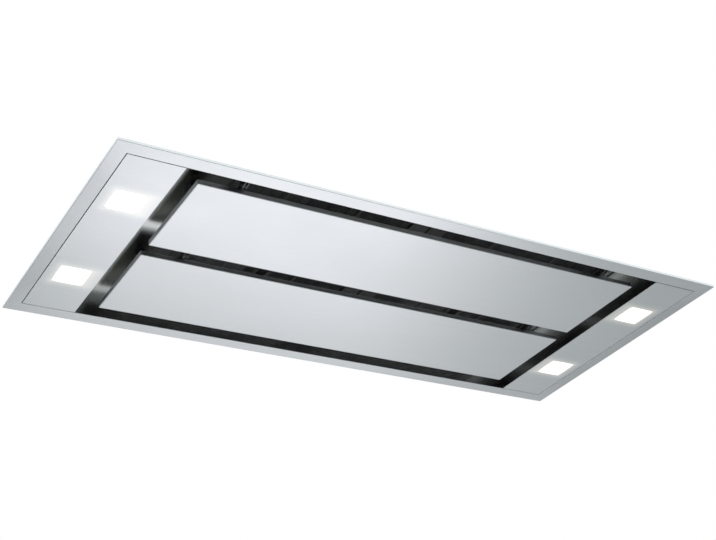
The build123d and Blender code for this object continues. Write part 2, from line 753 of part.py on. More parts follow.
def damper_flap(side):
    """A half disc that swings on the upright pin, with two barrels that interleave with its neighbour's."""
    barrels = [i for i in range(barrel_count) if i % 2 == (side > 0)]
    with BuildPart() as flap:
        with BuildSketch(Plane.XZ.offset(-damper_y)):
            with Locations((0, outlet_z)):
                Circle(flap_radius)
                with Locations((-side * (flap_radius / 2 - flap_start / 2), 0)):
                    Rectangle(flap_radius + flap_start, 2 * flap_radius, mode=Mode.SUBTRACT)
        extrude(amount=damper_thickness / 2, both=True)
        for i in barrels:
            low = outlet_z + (i - barrel_count / 2) * barrel_length + fit_gap / 2
            length = barrel_length - fit_gap
            web = sorted((0, side * (flap_start + sheet)))
            slab(web, (damper_y - damper_thickness / 2, damper_y + damper_thickness / 2), (low, low + length))
            with BuildSketch(Plane.XY.offset(low)):
                with Locations((0, damper_y)):
                    Circle(barrel_radius)
            extrude(amount=length)
            with BuildSketch(Plane.XY.offset(low)):
                with Locations((0, damper_y)):
                    Circle(damper_pin_radius + running_gap)
            extrude(amount=length, mode=Mode.SUBTRACT)
    return flap


save(damper_flap(-1), "damper_flap_left")
save(damper_flap(1), "damper_flap_right")

# ---- blower: scroll, impeller, shaft, motor and its mounting -------------------------------------------------------
outlet_flange = 8.0  # beyond the collar's bore
scroll_half = scroll_width / 2
lip_height = 2.5  # rolled lip of an inlet
outlet_y = box_y - sheet


def scroll_face(wall, end):
    """Face of the scroll in its own plane: three quarter arcs that shrink by a step, then the straight outlet."""
    y, z, step = fan_y, fan_z, scroll_step / 2
    first, second, third = [scroll_radius - i * scroll_step - wall for i in range(3)]
    top = (y + step, z + step + first)
    right = (y - step + third, z - step)
    tongue = (right[0], scroll_outlet_bottom + wall)
    with BuildSketch(Plane.YZ) as face:
        with BuildLine():
            CenterArc((y + step, z + step), first, 90, 90)
            CenterArc((y - step, z + step), second, 180, 90)
            CenterArc((y - step, z - step), third, 270, 90)
            Polyline(right, tongue, (end, tongue[1]), (end, top[1]), top)
        make_face()
    return face.sketch


scroll_outline = scroll_face(0, outlet_y)
scroll_hollow = scroll_face(scroll_wall, outlet_y + sheet)


def fan_point(radius, degrees):
    """A point in a plane across the fan's axis, at a radius and angle round it."""
    return (fan_y + radius * cos(radians(degrees)), fan_z + radius * sin(radians(degrees)))


grommet_count = 3
grommet_turn = 30  # degrees
grommet_offset = 14.0  # grommet's middle outside the inlet
grommet_places = [
    fan_point(inlet_radius + grommet_offset, grommet_turn + i * 360 / grommet_count) for i in range(grommet_count)
]

with BuildPart() as fan_scroll:
    extrude(scroll_outline, amount=scroll_half, both=True)
    with BuildSketch(Plane.XZ.offset(-outlet_y)):
        with Locations((0, outlet_z)):
            Rectangle(2 * (collar_bore + outlet_flange), 2 * (collar_bore + outlet_flange))
    extrude(amount=scroll_wall)
    extrude(scroll_hollow, amount=scroll_half - scroll_wall, both=True, mode=Mode.SUBTRACT)
    with BuildSketch(Plane.YZ.offset(-scroll_half)):
        with Locations((fan_y, fan_z)):
            Circle(inlet_radius)
    extrude(amount=scroll_width, mode=Mode.SUBTRACT)
    for side in (-1, 1):
        lip = sorted((side * (scroll_half - scroll_wall - lip_height), side * (scroll_half + lip_height)))
        with BuildSketch(Plane.YZ.offset(lip[0])):
            with Locations((fan_y, fan_z)):
                Circle(inlet_radius + sheet)
                Circle(inlet_radius, mode=Mode.SUBTRACT)
        extrude(amount=lip[1] - lip[0])
save(fan_scroll, "fan_scroll")

blade_sheet = 1.0
blade_lean = 7  # degrees by which a blade's outer edge leads its inner edge
blade_bow = 1.4  # degrees by which its middle lags
hub_disc = 1.5
hub_length = 18.0
hub_radius = 10.0
hub_window_count = 6
hub_window_radius = 8.0
blade_inner = impeller_radius - blade_depth
shaft_stub = 4.0  # shaft beyond the hub

with BuildPart() as impeller:
    for start in (-impeller_length / 2, impeller_length / 2 - hub_disc):
        with BuildSketch(Plane.YZ.offset(start)):
            with Locations((fan_y, fan_z)):
                Circle(impeller_radius)
                Circle(blade_inner, mode=Mode.SUBTRACT)
        extrude(amount=hub_disc)
    with BuildSketch(Plane.YZ.offset(-hub_disc / 2)):
        with Locations((fan_y, fan_z)):
            Circle(impeller_radius)
            with PolarLocations((blade_inner + hub_radius) / 2, hub_window_count):
                Circle(hub_window_radius, mode=Mode.SUBTRACT)
    extrude(amount=hub_disc)
    with BuildSketch(Plane.YZ.offset(-hub_disc / 2)):
        with Locations((fan_y, fan_z)):
            Circle(hub_radius)
    extrude(amount=hub_length)
    with BuildSketch(Plane.YZ.offset(-hub_disc / 2)):
        with Locations((fan_y, fan_z)):
            Circle(shaft_radius)
    extrude(amount=hub_length, mode=Mode.SUBTRACT)
save(impeller, "impeller")

blade_length = (impeller_length - 3 * hub_disc) / 2
with BuildPart() as impeller_blades:
    for start in (hub_disc / 2, -hub_disc / 2 - blade_length):
        with BuildSketch(Plane.YZ.offset(start)):
            for i in range(blade_count):
                turn = i * 360 / blade_count
                with BuildLine():
                    bow = ThreePointArc(
                        fan_point(blade_inner + blade_sheet, turn),
                        fan_point((blade_inner + impeller_radius) / 2, turn - blade_bow),
                        fan_point(impeller_radius - blade_sheet, turn + blade_lean),
                    )
                    offset(bow, amount=blade_sheet / 2, side=Side.BOTH)
                make_face()
        extrude(amount=blade_length)
save(impeller_blades, "impeller_blades")

motor_front = -motor_gap
motor_back = motor_front - motor_length
motor_vent_count = 8
motor_vent_ring = 17.0
motor_vent_size = (13.0, 3.0)
shaft_end = hub_length + shaft_stub

with BuildPart() as impeller_shaft:
    with BuildSketch(Plane.YZ.offset(motor_back - cap_length / 2)):
        with Locations((fan_y, fan_z)):
            Circle(shaft_radius)
    extrude(amount=shaft_end - motor_back + cap_length / 2)
    chamfer(impeller_shaft.edges(), length=edge_radius)
save(impeller_shaft, "impeller_shaft")

with BuildPart() as motor:
    with BuildSketch(Plane.YZ.offset(motor_back)):
        with Locations((fan_y, fan_z)):
            Circle(cap_radius)
    extrude(amount=motor_length)
    with BuildSketch(Plane.YZ.offset(motor_back + cap_length)):
        with Locations((fan_y, fan_z)):
            Circle(motor_radius)
    extrude(amount=motor_length - 2 * cap_length)
    chamfer(motor.edges().filter_by(GeomType.CIRCLE).group_by(SortBy.RADIUS)[-1], corner_radius)
    with BuildSketch(Plane.YZ.offset(motor_front - cap_length / 2)):
        with Locations((fan_y, fan_z)):
            with PolarLocations(motor_vent_ring, motor_vent_count):
                Rectangle(*motor_vent_size)
    extrude(amount=cap_length, mode=Mode.SUBTRACT)
    with BuildSketch(Plane.YZ.offset(motor_back)):
        with Locations((fan_y, fan_z)):
            Circle(shaft_radius + running_gap)
    extrude(amount=motor_length, mode=Mode.SUBTRACT)
save(motor, "motor")

spider_sheet = 2.0
grommet_radius = 7.0
grommet_waist = 4.0
stud_radius = 2.5

with BuildPart() as motor_spider:
    with BuildSketch(Plane.YZ.offset(motor_back)):
        with Locations((fan_y, fan_z)):
            Circle(cap_radius)
        for place in grommet_places:
            with Locations(place):
                Circle(grommet_radius + spider_sheet)
            with BuildLine():
                Line((fan_y, fan_z), place)
            trace(line_width=grommet_radius * 2)
        with Locations((fan_y, fan_z)):
            Circle(shaft_radius + 2 * spider_sheet, mode=Mode.SUBTRACT)
        with Locations(*grommet_places):
            Circle(grommet_waist, mode=Mode.SUBTRACT)
    extrude(amount=-spider_sheet)
save(motor_spider, "motor_spider")

with BuildPart() as rubber_grommets:
    for place in grommet_places:
        for start, length, radius in (
            (motor_back, -scroll_half - motor_back, grommet_radius),
            (motor_back - spider_sheet, spider_sheet, grommet_waist),
            (motor_back - 2 * spider_sheet, spider_sheet, grommet_radius),
        ):
            with BuildSketch(Plane.YZ.offset(start)):
                with Locations(place):
                    Circle(radius)
            extrude(amount=length)
        with BuildSketch(Plane.YZ.offset(motor_back - 2 * spider_sheet)):
            with Locations(place):
                Circle(stud_radius)
        extrude(amount=-scroll_half - motor_back + 2 * spider_sheet, mode=Mode.SUBTRACT)
save(rubber_grommets, "rubber_grommets")

capacitor_y = 110.0
capacitor_z = plenum_top + 2 * capacitor_radius
tag_pitch = 10.0
tag_width = 6.0
tag_length = 8.0

with BuildPart() as capacitor:
    with BuildSketch(Plane.YZ.offset(-box_x + sheet)):
        with Locations((-capacitor_y, capacitor_z)):
            Circle(capacitor_radius)
    extrude(amount=capacitor_length)
    chamfer(capacitor.faces().sort_by(Axis.X)[-1].edges(), corner_radius)
    with BuildSketch(Plane.YZ.offset(-box_x + sheet + capacitor_length)):
        with Locations((-capacitor_y, capacitor_z)):
            with GridLocations(tag_pitch, 1, 2, 1):
                Rectangle(sheet, tag_width)
    extrude(amount=tag_length)
save(capacitor, "capacitor")

# ---- controls on the plenum: box with lid, lamp driver and cable gland -------------------------------------------
control_high = plenum_top + control_box_size[2]
gland_z = plenum_top + gland_height
gland_thread = 8.0
gland_thread_length = 9.0
gland_nut = 11.0
gland_nut_height = 5.5
gland_locknut_height = 4.4
gland_dome = 9.0
gland_dome_length = 11.0
vent_count = 6
vent_pitch = 11.0
vent_size = (54.0, 3.2)

with BuildPart() as control_box:
    with BuildSketch(Plane.XY.offset(plenum_top)):
        with Locations((control_x, 0)):
            Rectangle(control_box_size[0], control_box_size[1])
    extrude(amount=control_box_size[2])
    fillet(control_box.edges().filter_by(Axis.Z), 2 * corner_radius)
    with BuildSketch(Plane.XY.offset(plenum_top)):
        with Locations((control_x, 0)):
            Rectangle(control_box_size[0] - 2 * control_foot_inset, control_box_size[1] + 2 * control_foot)
    extrude(amount=control_wall)
    with BuildSketch(Plane.XY.offset(plenum_top + control_wall)):
        with Locations((control_x, 0)):
            Rectangle(control_box_size[0] - 2 * control_wall, control_box_size[1] - 2 * control_wall)
    extrude(amount=control_box_size[2], mode=Mode.SUBTRACT)
    with BuildSketch(Plane.XY.offset(plenum_top)):
        with Locations(*control_screws):
            Circle(screw_radius)
    extrude(amount=control_wall, mode=Mode.SUBTRACT)
    with BuildSketch(Plane.YZ.offset(control_x - control_box_size[0] / 2)):
        with Locations((0, gland_z)):
            Circle(gland_thread)
    extrude(amount=control_wall, mode=Mode.SUBTRACT)
save(control_box, "control_box")

with BuildPart() as control_box_lid:
    with BuildSketch(Plane.XY.offset(control_high)):
        with Locations((control_x, 0)):
            RectangleRounded(control_box_size[0], control_box_size[1], 2 * corner_radius)
    extrude(amount=control_wall)
    with BuildSketch(Plane.XY.offset(control_high)):
        with Locations((control_x, 0)):
            Rectangle(
                control_box_size[0] - 2 * control_wall - 2 * fit_gap,
                control_box_size[1] - 2 * control_wall - 2 * fit_gap,
            )
            Rectangle(
                control_box_size[0] - 4 * control_wall - 2 * fit_gap,
                control_box_size[1] - 4 * control_wall - 2 * fit_gap,
                mode=Mode.SUBTRACT,
            )
    extrude(amount=-3 * control_wall)
    with BuildSketch(Plane.XY.offset(control_high)):
        with Locations((control_x, 0)):
            with GridLocations(1, vent_pitch, 1, vent_count):
                SlotOverall(*vent_size)
    extrude(amount=control_wall, mode=Mode.SUBTRACT)
save(control_box_lid, "control_box_lid")

gland_wall = control_x - control_box_size[0] / 2
with BuildPart() as cable_gland:
    with BuildSketch(Plane.YZ.offset(gland_wall - gland_nut_height)):
        with Locations((0, gland_z)):
            RegularPolygon(gland_nut, 6)
    extrude(amount=gland_nut_height)
    with BuildSketch(Plane.YZ.offset(gland_wall)):
        with Locations((0, gland_z)):
            Circle(gland_thread)
    extrude(amount=gland_thread_length)
    with BuildSketch(Plane.YZ.offset(gland_wall + control_wall)):
        with Locations((0, gland_z)):
            RegularPolygon(gland_nut, 6)
            Circle(gland_thread, mode=Mode.SUBTRACT)
    extrude(amount=gland_locknut_height)
    with BuildSketch(Plane.YZ.offset(gland_wall - gland_nut_height)):
        with Locations((0, gland_z)):
            Circle(gland_dome)
    extrude(amount=-gland_dome_length, taper=16)
    with BuildSketch(Plane.YZ.offset(gland_wall - gland_nut_height - gland_dome_length)):
        with Locations((0, gland_z)):
            Circle(gland_bore)
    extrude(amount=gland_nut_height + gland_dome_length + gland_thread_length, mode=Mode.SUBTRACT)
save(cable_gland, "cable_gland")

with BuildPart() as led_driver:
    with BuildSketch(Plane.XY.offset(plenum_top)):
        with Locations((driver_x, 0)):
            Rectangle(driver_size[0], driver_size[1])
    extrude(amount=driver_size[2])
    fillet(led_driver.edges().filter_by(Axis.Z), corner_radius)
    fillet(led_driver.faces().sort_by(Axis.Z)[-1].edges(), corner_radius)
    with BuildSketch(Plane.XY.offset(plenum_top)):
        with Locations((driver_x, 0)):
            SlotOverall(driver_size[0] + 2 * control_foot, driver_foot_width)
    extrude(amount=control_wall)
    with BuildSketch(Plane.XY.offset(plenum_top)):
        with Locations(*driver_screws):
            Circle(screw_radius)
    extrude(amount=control_wall, mode=Mode.SUBTRACT)
save(led_driver, "led_driver")

# ---- hanging brackets at the plenum's corners --------------------------------------------------------------------
ear_z = plenum_top + hanger_height

with BuildPart() as hanging_brackets:
    for sx in (-1, 1):
        for sy in (-1, 1):
            width = (sy * hanger_y - hanger_width / 2, sy * hanger_y + hanger_width / 2)
            foot = sorted((sx * (hanger_x - hanger_foot), sx * hanger_x))
            upright = sorted((sx * (hanger_x - hanger_sheet), sx * hanger_x))
            ear = sorted((sx * (hanger_x - hanger_sheet), sx * (hanger_x + hanger_foot)))
            slab(foot, width, (plenum_top, plenum_top + hanger_sheet))
            slab(upright, width, (plenum_top, ear_z))
            slab(ear, width, (ear_z - hanger_sheet, ear_z))
            rib = Plane.XZ.offset(-(sy * hanger_y + hanger_sheet / 2))
            with BuildSketch(rib):
                with BuildLine():
                    Polyline(
                        (sx * hanger_x, ear_z - hanger_sheet),
                        (sx * (hanger_x + hanger_rib), ear_z - hanger_sheet),
                        (sx * hanger_x, ear_z - hanger_foot),
                        close=True,
                    )
                make_face()
            extrude(amount=hanger_sheet)
    with BuildSketch(Plane.XY.offset(ear_z - hanger_sheet)):
        with Locations(*rod_holes):
            Circle(rod_hole_radius)
    extrude(amount=hanger_sheet, mode=Mode.SUBTRACT)
    with BuildSketch(Plane.XY.offset(plenum_top)):
        with Locations(*hanger_screws):
            Circle(screw_radius)
    extrude(amount=hanger_sheet, mode=Mode.SUBTRACT)
save(hanging_brackets, "hanging_brackets")

# ---- screws that hold the boxes and brackets on the plenum ---------------------------------------------------------
with BuildPart() as case_screws:
    for places, seat in (
        (box_screws, plenum_top + sheet),
        (hanger_screws, plenum_top + hanger_sheet),
        (control_screws, plenum_top + control_wall),
        (driver_screws, plenum_top + control_wall),
    ):
        with BuildSketch(Plane.XY.offset(seat)):
            with Locations(*places):
                Circle(screw_head_radius)
        extrude(amount=screw_head, taper=20)
        with BuildSketch(Plane.XY.offset(seat)):
            with Locations(*places):
                Circle(screw_radius)
        extrude(amount=-screw_length)
save(case_screws, "case_screws")
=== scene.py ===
"""Looks of the recessed ceiling hood: finishes, lamps, screws and fittings on the fixed frame, in metres."""

from math import tau

import bmesh
import bpy
from mathutils import Matrix, Vector


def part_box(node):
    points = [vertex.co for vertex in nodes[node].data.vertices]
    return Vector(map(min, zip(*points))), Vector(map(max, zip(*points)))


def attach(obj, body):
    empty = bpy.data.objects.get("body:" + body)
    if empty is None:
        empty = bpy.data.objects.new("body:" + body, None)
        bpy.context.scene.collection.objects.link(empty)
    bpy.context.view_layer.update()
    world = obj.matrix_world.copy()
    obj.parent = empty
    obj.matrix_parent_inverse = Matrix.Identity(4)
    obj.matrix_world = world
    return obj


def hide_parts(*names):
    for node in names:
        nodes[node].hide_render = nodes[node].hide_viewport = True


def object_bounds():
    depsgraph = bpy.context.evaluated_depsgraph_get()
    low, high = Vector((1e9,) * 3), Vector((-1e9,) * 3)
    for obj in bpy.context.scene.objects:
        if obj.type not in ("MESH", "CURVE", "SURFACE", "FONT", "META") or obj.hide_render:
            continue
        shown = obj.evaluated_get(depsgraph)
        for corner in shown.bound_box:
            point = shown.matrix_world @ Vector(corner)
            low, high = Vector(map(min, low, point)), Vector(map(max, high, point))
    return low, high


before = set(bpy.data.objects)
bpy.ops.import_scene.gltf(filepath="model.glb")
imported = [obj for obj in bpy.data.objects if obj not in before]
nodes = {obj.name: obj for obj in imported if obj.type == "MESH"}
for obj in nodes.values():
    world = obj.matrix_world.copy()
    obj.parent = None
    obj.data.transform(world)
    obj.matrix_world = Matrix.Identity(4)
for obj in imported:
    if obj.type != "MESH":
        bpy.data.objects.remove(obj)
cad_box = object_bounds()
lens_low, lens_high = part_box("lamp_lens_far_right")
lamp_x = (lens_low[0] + lens_high[0]) / 2
lamp_y = (lens_low[1] + lens_high[1]) / 2
half_length, half_depth = cad_box[1][0], cad_box[1][1]  # of the flange, the widest piece
corners = ("near_left", "near_right", "far_left", "far_right")
both = (-1, 1)
black = (0, 0, 0, 1)


# ---- shader maths -------------------------------------------------------------------------------------
class Value:
    """A shader socket on which ordinary arithmetic adds Math nodes."""

    def __init__(self, finish, socket):
        self.finish = finish
        self.socket = socket

    def math(self, operation, *values, clamp=False):
        settings = {"operation": operation, "use_clamp": clamp}
        return self.finish.node("Math", settings, dict(enumerate(values)))

    def __add__(self, other):
        return self.math("ADD", self, other)

    def __radd__(self, other):
        return self.math("ADD", other, self)

    def __sub__(self, other):
        return self.math("SUBTRACT", self, other)

    def __rsub__(self, other):
        return self.math("SUBTRACT", other, self)

    def __mul__(self, other):
        return self.math("MULTIPLY", self, other)

    def __rmul__(self, other):
        return self.math("MULTIPLY", other, self)

    def __lt__(self, other):
        return self.math("LESS_THAN", self, other)

    def __gt__(self, other):
        return self.math("GREATER_THAN", self, other)

    def __abs__(self):
        return self.math("ABSOLUTE", self)

    def sine(self):
        return self.math("SINE", self)

    def root(self):
        return self.math("SQRT", self)

    def most(self, other):
        return self.math("MAXIMUM", self, other)

    def clamped(self):
        return self.math("ADD", self, 0.0, clamp=True)


class Finish:
    """A material, or the world, whose nodes are added by one method and whose surface is set at the end."""

    def __init__(self, name, kind="Material"):
        store = bpy.data.worlds if kind == "World" else bpy.data.materials
        self.made = store.new(name)
        self.made.use_nodes = True
        self.tree = self.made.node_tree
        self.tree.nodes.clear()
        self.output = self.tree.nodes.new("ShaderNodeOutput" + kind)

    def node(self, kind, settings=None, sockets=None, out=0):
        """Adds a node of a kind, sets it up, fills its sockets with values or links and gives one output."""
        made = self.tree.nodes.new("ShaderNode" + kind)
        for key, setting in (settings or {}).items():
            if key == "stops":
                ramp = made.color_ramp
                while len(ramp.elements) < len(setting):
                    ramp.elements.new(0.5)
                for element, (place, colour) in zip(ramp.elements, setting):
                    element.position = place
                    element.color = (*colour, 1)
            else:
                setattr(made, key, setting)
        for key, value in (sockets or {}).items():
            if isinstance(value, Value):
                self.tree.links.new(value.socket, made.inputs[key])
            else:
                made.inputs[key].default_value = value
        return Value(self, made.outputs[out])

    def place(self, stretch=(1, 1, 1)):
        """The piece's own coordinates in metres, stretched."""
        here = self.node("TexCoord", out="Object")
        return self.node("Mapping", {"vector_type": "POINT"}, {"Vector": here, "Scale": stretch})

    def axes(self, names="XYZ"):
        """Those of a point's three coordinates that are named, in metres on the piece."""
        here = self.node("TexCoord", out="Object")
        return [self.node("SeparateXYZ", None, {"Vector": here}, out=name) for name in names]

    def rays(self):
        """Whether the camera, a mirror or clear glass looks here: three values, each 0 or 1."""
        names = ("Is Camera Ray", "Is Glossy Ray", "Is Transmission Ray")
        return [self.node("LightPath", out=name) for name in names]

    def noise(self, scale, stretch=(1, 1, 1), detail=3.0, rough=0.5):
        """Smooth noise from 0 to 1, with cells of 1 / scale metres before stretching."""
        sockets = {"Vector": self.place(stretch), "Scale": scale, "Detail": detail, "Roughness": rough}
        return self.node("TexNoise", None, sockets)

    def ramp(self, value, *stops):
        """A colour read from stops, each a value from 0 to 1 and the colour there."""
        return self.node("ValToRGB", {"stops": stops}, {0: value})

    def blend(self, share, first, second):
        """A colour between two, by a share from 0 to 1."""
        return self.node("Mix", {"data_type": "RGBA"}, {0: share, 6: first, 7: second}, out=2)

    def spread(self, value, low, high, to_low=0.0, to_high=1.0):
        """A value carried from one span onto another, held at the ends."""
        return self.node("MapRange", {"clamp": True}, {0: value, 1: low, 2: high, 3: to_low, 4: to_high})

    def bump(self, height, distance, strength=1.0, normal=None):
        """The normal of a height from 0 to 1 over a distance in metres, on an earlier normal if given."""
        sockets = {"Height": height, "Distance": distance, "Strength": strength}
        if normal is not None:
            sockets["Normal"] = normal
        return self.node("Bump", None, sockets)

    def close(self, surface):
        """Links the last node to the output and returns the material or the world."""
        self.tree.links.new(surface.socket, self.output.inputs["Surface"])
        return self.made

    def shader(self, **sockets):
        """The closing shader: every argument is one of its sockets, with spaces written as underscores."""
        filled = {key.replace("_", " "): value for key, value in sockets.items()}
        for key in ("Base Color", "Emission Color"):
            if key in filled and not isinstance(filled[key], Value):
                filled[key] = (*filled[key], 1)
        return self.close(self.node("BsdfPrincipled", None, filled))


# ---- finishes -----------------------------------------------------------------------------------------
def brush_strokes(f, axis):
    """Fine strokes of the brush over broad ones, from 0 to 1, drawn out along X (axis 0) or Y (axis 1)."""
    layers = []
    for along, across, detail, rough in ((9, 1900, 3.0, 0.7), (2.5, 260, 2.0, 0.6)):
        stretch = [across, across, across]
        stretch[axis] = along
        layers.append(f.noise(1.0, stretch, detail, rough))
    fine, broad = layers
    return fine * 0.65 + broad * 0.35


def painted_lamp_bloom(f):
    """Painted glow round each lamp, standing in for the lamps' bloom on a plate's underside: 1 at a lens's
    edge, falling to 0, widest towards the recess.
    """
    lens_edge, reach, inward_pace, underside = 0.024, 0.026, 0.42, 0.0006
    x, y, z = f.axes()
    side = abs(x) - lamp_x
    across = (side - lens_edge).most((0 - side - lens_edge) * inward_pace).most(0.0)
    along = (abs(abs(y) - lamp_y) - lens_edge).most(0.0)
    away = (across * across + along * along).root()
    glow = f.spread(away, 0.0, reach, 1.0, 0.0)
    return glow * glow * glow * (z < underside)


def brushed_steel(name, fold_radius, mitred=False, lamps=False):
    """Brushed stainless sheet, slightly cool, with faint smears, a cleaner's haze and softly folded edges;
    painted shade on the frame's end strips and painted glow round the lamps on the plates.
    """
    f = Finish(name)
    grain = brush_strokes(f, 0)
    if mitred:
        mitre, joint, shade_reach, shade = half_length - half_depth, 0.0002, 0.08, 0.13
        x, y = f.axes("XY")
        past_mitre = abs(x) - abs(y)
        on_ends = f.spread(past_mitre, mitre - joint, mitre + joint)
        grain = grain * (1 - on_ends) + brush_strokes(f, 1) * on_ends
    haze = f.noise(3.2, (1, 1.6, 1), detail=4.0, rough=0.55)
    base = f.ramp(grain, (0.25, (0.558, 0.563, 0.586)), (0.75, (0.634, 0.637, 0.664)))
    base = f.blend(f.spread(haze, 0.35, 0.7) * 0.35, base, (0.585, 0.597, 0.607, 1))
    # painted shade: beyond the mitres the frame's end strips are darkened towards black, by up to 13 percent
    if mitred:
        base = f.blend(f.spread(past_mitre, mitre, mitre + shade_reach) * shade, base, black)
    rough = f.spread(grain, 0.2, 0.8, 0.27, 0.36) + f.spread(haze, 0.3, 0.7, -0.02, 0.03)
    fold = f.node("Bevel", {"samples": 4}, {"Radius": fold_radius})
    wave = f.noise(2.1, detail=1.0)
    normal = f.bump(wave, 0.004, 0.12, fold)
    normal = f.bump(grain, 0.00002, 0.55, normal)
    extra = {}
    # painted glow: the lamp plates give out a faint warm light round each lens, a painted lamp bloom
    if lamps:
        glow = f.blend(painted_lamp_bloom(f), black, (1.0, 0.91, 0.72, 1))
        extra = {"Emission_Color": glow, "Emission_Strength": 0.25}
    return f.shader(Base_Color=base, Metallic=1.0, Roughness=rough, Normal=normal, **extra)


def polished_steel():
    """Mirror-polished stainless of the recess: slow waves, light hairlines and painted shade darkening its +X
    end.
    """
    f = Finish("polished recess steel")
    painted_shade_start, painted_shade_full, painted_shade_share = 0.380, 0.425, 0.42
    waves = f.noise(7.0, (1, 1, 2), detail=2.0)
    hairs = f.noise(1.0, (14, 1100, 1100), detail=2.0, rough=0.7)
    smear = f.noise(9.0, detail=4.0)
    base = f.ramp(smear, (0.3, (0.42, 0.427, 0.415)), (0.7, (0.465, 0.473, 0.468)))
    x = f.axes("X")[0]
    # painted shade: the recess steel is darkened up to 42 percent towards near black past x = 0.38 m, with a
    # ragged edge from the smears
    painted_end_shade = f.spread(x + smear * 0.02, painted_shade_start, painted_shade_full) * painted_shade_share
    base = f.blend(painted_end_shade, base, (0.13, 0.133, 0.128, 1))
    rough = f.spread(smear, 0.3, 0.7, 0.20, 0.26) + hairs * 0.03
    normal = f.bump(waves, 0.0015, 0.25)
    normal = f.bump(hairs, 0.00001, 0.4, normal)
    return f.shader(Base_Color=base, Metallic=1.0, Roughness=rough, Normal=normal)


def rolled_aluminium():
    """Bright rolled aluminium of the panels' backs: half a mirror, a little tanned by warm air."""
    f = Finish("bright rolled aluminium")
    waves = f.noise(5.0, (1, 2, 1), detail=2.0)
    hairs = f.noise(1.0, (10, 900, 900), detail=2.0, rough=0.7)
    tan = f.noise(6.0, detail=4.0)
    base = f.ramp(tan, (0.3, (0.66, 0.675, 0.625)), (0.7, (0.72, 0.735, 0.695)))
    rough = f.spread(tan, 0.3, 0.7, 0.25, 0.31) + hairs * 0.04
    normal = f.bump(waves, 0.001, 0.2)
    normal = f.bump(hairs, 0.00001, 0.4, normal)
    return f.shader(Base_Color=base, Metallic=1.0, Roughness=rough, Normal=normal)


def galvanised_steel():
    """Hot-dipped zinc with its spangle, a little dulled, and faint handling smears."""
    f = Finish("galvanised sheet")
    spangle = {"Vector": f.place(), "Scale": 130.0, "Randomness": 1.0}
    cells = f.node("TexVoronoi", {"feature": "F1"}, spangle, out="Color")
    cell, tilt = [f.node("SeparateColor", None, {0: cells}, out=i) for i in range(2)]
    cloud = f.noise(6.0, detail=5.0, rough=0.6)
    dull, plain, bright = (0.43, 0.45, 0.46), (0.50, 0.52, 0.53), (0.57, 0.59, 0.60)
    base = f.ramp(cell * 0.6 + cloud * 0.4, (0.15, dull), (0.5, plain), (0.85, bright))
    rough = f.spread(tilt, 0.0, 1.0, 0.30, 0.52) + cloud * 0.06
    normal = f.bump(cell, 0.0002, 0.25)
    normal = f.bump(cloud, 0.0006, 0.2, normal)
    return f.shader(Base_Color=base, Metallic=0.92, Roughness=rough, Normal=normal)


def satin_metal(name, colour, roughness=0.34, grain=(1, 1, 1), scale=220.0, dirt=0.25, metallic=1.0):
    """Plain metal with fine grain, uneven sheen and a little grime."""
    f = Finish(name)
    fine = f.noise(scale, grain, detail=3.0, rough=0.65)
    slow = f.noise(18.0, detail=4.0)
    worn = [c * 0.86 for c in colour]
    grimy = [c * 0.72 for c in colour]
    base = f.blend(f.spread(fine, 0.3, 0.7) * 0.35, (*colour, 1), (*worn, 1))
    base = f.blend(f.spread(slow, 0.52, 0.75) * dirt, base, (*grimy, 1))
    sheen = f.spread(fine, 0.25, 0.75, roughness - 0.05, roughness + 0.07)
    rough = sheen + f.spread(slow, 0.4, 0.7, 0.0, 0.06)
    normal = f.bump(fine, 0.00006, 0.35)
    return f.shader(Base_Color=base, Metallic=metallic, Roughness=rough, Normal=normal)


def moulded(name, colour, roughness=0.5, texture=0.35, scale=900.0, coat=0.0):
    """Moulded plastic with its fine eroded texture and slight unevenness of colour."""
    f = Finish(name)
    eroded = f.noise(scale, detail=4.0, rough=0.7)
    slow = f.noise(25.0, detail=3.0)
    paler = [min(1.0, c * 1.16 + 0.006) for c in colour]
    base = f.blend(f.spread(slow, 0.3, 0.7) * 0.5, (*colour, 1), (*paler, 1))
    rough = f.spread(eroded, 0.3, 0.7, roughness - 0.06, roughness + 0.08)
    normal = f.bump(eroded, 0.00005, texture)
    return f.shader(Base_Color=base, Metallic=0.0, Roughness=rough, Normal=normal, Coat_Weight=coat)


def grease_mesh():
    """Layers of expanded aluminium: diamond holes that shift from pleat to pleat."""
    f = Finish("expanded aluminium mesh")
    diamond_length, diamond_width, shift = 0.0062, 0.0034, 0.9
    x, y, z = f.axes()
    u = (x + z * shift) * (tau / diamond_length)
    v = y * (tau / diamond_width)
    diamonds = (u + v).sine() * (u - v).sine()
    strands = f.spread(abs(diamonds), 0.10, 0.20, 1.0, 0.0)
    tone = f.noise(70.0, detail=4.0)
    base = f.ramp(tone, (0.3, (0.42, 0.43, 0.44)), (0.7, (0.66, 0.67, 0.68)))
    normal = f.bump(strands, 0.0006, 0.8)
    solid = f.spread(strands, 0.3, 0.6, 0.12, 1.0)
    return f.shader(Base_Color=base, Metallic=1.0, Roughness=0.36, Normal=normal, Alpha=solid)


def frosted_lens():
    """Lit frosted lens: brightest over the board, dimmer and warmer at its rim, with fine frosting."""
    f = Finish("lit frosted lens")
    rim_start, rim_end = 0.0190, 0.0320
    x, y = f.axes("XY")
    dx = abs(abs(x) - lamp_x)
    dy = abs(abs(y) - lamp_y)
    rounded_square = (dx * dx * dx * dx + dy * dy * dy * dy).root().root()
    rim = f.spread(rounded_square, rim_start, rim_end)
    glow = f.blend(rim, (1.0, 0.985, 0.94, 1), (0.17, 0.155, 0.12, 1))
    frost = f.bump(f.noise(1400.0, detail=2.0), 0.00004, 0.5)
    return f.shader(Base_Color=(0.92, 0.91, 0.88), Roughness=0.45, Normal=frost,
                    Emission_Color=glow, Emission_Strength=1.7)


